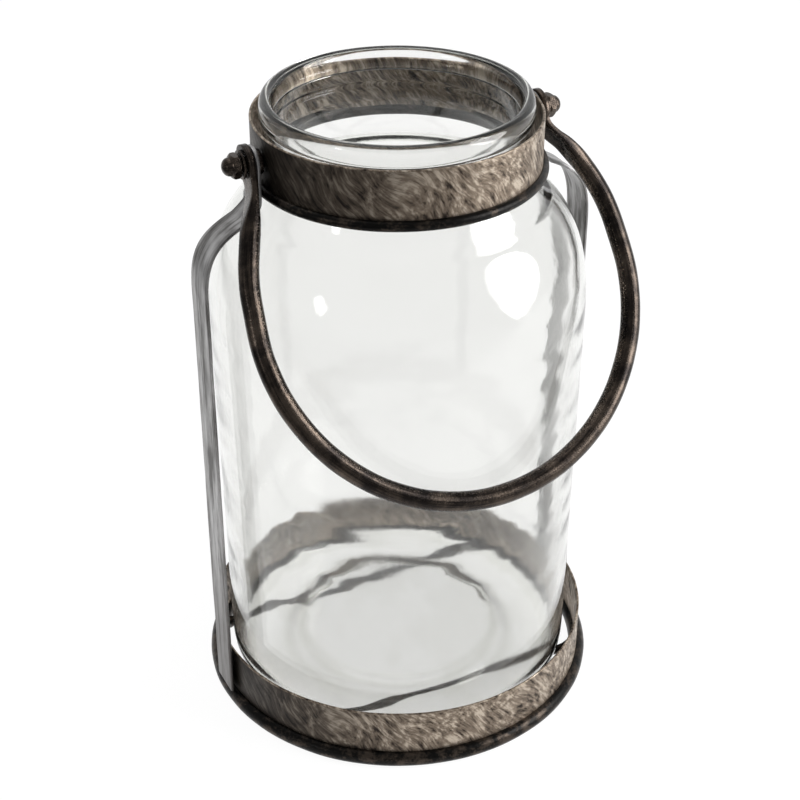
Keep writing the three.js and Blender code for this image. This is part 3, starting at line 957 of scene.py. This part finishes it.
def bail():
    """One bent rod, hammered flat into a round eye at each end."""
    line = bail_line()
    tip = [-EYE_RADIUS * math.sin(TAU / 4 * (1 - i / (EYE_STEPS - 0.5))) for i in range(1, EYE_STEPS)]
    left_tip = [Vector((line[0].x, drop)) for drop in tip]
    right_tip = [Vector((line[-1].x, drop)) for drop in reversed(tip)]
    line = left_tip + line + right_tip
    rest = math.asin((JAR_RADIUS_AT_BOW + BAIL_ROD / 2 + BOW_CLEARANCE) / (BOW_DROP + BOW_RADIUS))
    swing = Matrix.Translation(PIVOT) @ Matrix.Rotation(-rest, 4, "X")
    sides = 32
    rings = []
    for i, point in enumerate(line):
        before, after = line[max(i - 1, 0)], line[min(i + 1, len(line) - 1)]
        along = (after - before).normalized()
        across = Vector((along.y, -along.x))
        thick, wide, power = bail_size(point.y)
        centre = Vector((point.x, 0, -point.y))
        roundness = smoothstep(point.y, FLAT_END, ROUND_START)
        ring = []
        for j in range(sides):
            offset = superellipse(TAU * j / sides, thick, wide, power)
            spot = point + across * offset.x
            place_at = Vector((spot.x, offset.y, -spot.y))
            uneven = 1 + 0.03 * ripple(place_at, 9 * MM) * roundness
            ring.append(swing @ (centre + (place_at - centre) * uneven))
        rings.append(ring)
    return skin("bail", rings, TAU * BAIL_ROD / 2)


# ---------- stage ----------


def floor():
    """A pale table that glows, dimmed by a painted shadow under the jar and by painted shade out to
    the front and left.
    """
    half = FLOOR_HALF
    mesh = bpy.data.meshes.new("floor")
    corners = [(-half, -half, 0), (half, -half, 0), (half, half, 0), (-half, half, 0)]
    mesh.from_pydata(corners, [], [(0, 1, 2, 3)])
    table = add_object("floor", mesh)
    table.location.z = -FLOOR_DROP
    made, tree, shader = material("pale_table", Roughness=0.9)
    shader.inputs["Base Color"].default_value = (0.1, 0.1, 0.1, 1)
    shader.inputs["Specular IOR Level"].default_value = 0.0
    shader.inputs["Emission Color"].default_value = (1, 1, 1, 1)
    # Painted shade to the front and left, and a painted shadow under the jar.
    glow = remap(tree, reach_along(tree, place(tree), FRONT), *FRONT_FADE, FLOOR_GLOW, FRONT_GLOW)
    left = remap(tree, reach_along(tree, place(tree), LEFT), *LEFT_FADE, 1.0, LEFT_SHARE)
    under = remap(tree, length(tree, place(tree)), *UNDER_JAR_FADE, UNDER_JAR_SHADOW_SHARE, 1.0)
    glow = calc(tree, "MULTIPLY", calc(tree, "MULTIPLY", glow, left), under)
    tree.links.new(glow, shader.inputs["Emission Strength"])
    mesh.materials.append(made)


def world():
    """A room that is bright behind the lantern and dim in front, as the camera sees it."""
    made = bpy.data.worlds.new("room")
    made.use_nodes = True
    tree = made.node_tree
    direction = node(tree, "ShaderNodeTexCoord").outputs["Generated"]
    front = reach_along(tree, direction, TO_CAMERA)
    background = tree.nodes["Background"]
    glow = remap(tree, front, *ROOM_FADE, ROOM_BEHIND, ROOM_IN_FRONT)
    tree.links.new(glow, background.inputs["Strength"])
    background.inputs["Color"].default_value = (1, 1, 1, 1)
    bpy.context.scene.world = made


def look_along(seer, direction):
    """Turns a camera or light to face along a direction."""
    seer.rotation_mode = "QUATERNION"
    seer.rotation_quaternion = direction.to_track_quat("-Z", "Y")


def softbox(name, towards, distance, width, height, radiance):
    """An oval light that faces the lantern's middle, of a given radiance."""
    light = bpy.data.lights.new(name, "AREA")
    light.shape = "ELLIPSE"
    light.size, light.size_y = width, height
    light.energy = radiance * math.pi * (math.pi / 4 * width * height)
    box = add_object(name, light)
    direction = Vector(towards).normalized()
    box.location = LANTERN_MIDDLE + direction * distance
    look_along(box, -direction)
    box.visible_camera = False


def camera():
    data = bpy.data.cameras.new("camera")
    data.lens = CAMERA_LENS
    made = add_object("camera", data)
    made.location = Vector((0, 0, AIM.z)) + TO_CAMERA * CAMERA_DISTANCE
    look_along(made, AIM - made.location)
    bpy.context.scene.camera = made


camera()
floor()
world()
softbox("key", (0.77, -0.6, 0.36), distance=0.9, width=0.56, height=0.74, radiance=8)
softbox("top", (0.0, 0.3, 1.0), distance=1.0, width=0.9, height=0.9, radiance=1.2)
softbox("side", (-0.95, -0.3, 0.3), distance=0.9, width=0.1, height=0.16, radiance=9)

strap_steel = grey_strap()
dark_steel = gunmetal()
jar()
cradle()
side_pieces("right", 0, strap_steel, dark_steel)
side_pieces("left", math.pi, strap_steel, dark_steel)
install(drilled(bail()), dark_steel, "handle", "bail_handle")

bpy.context.scene.view_settings.view_transform = "Standard"
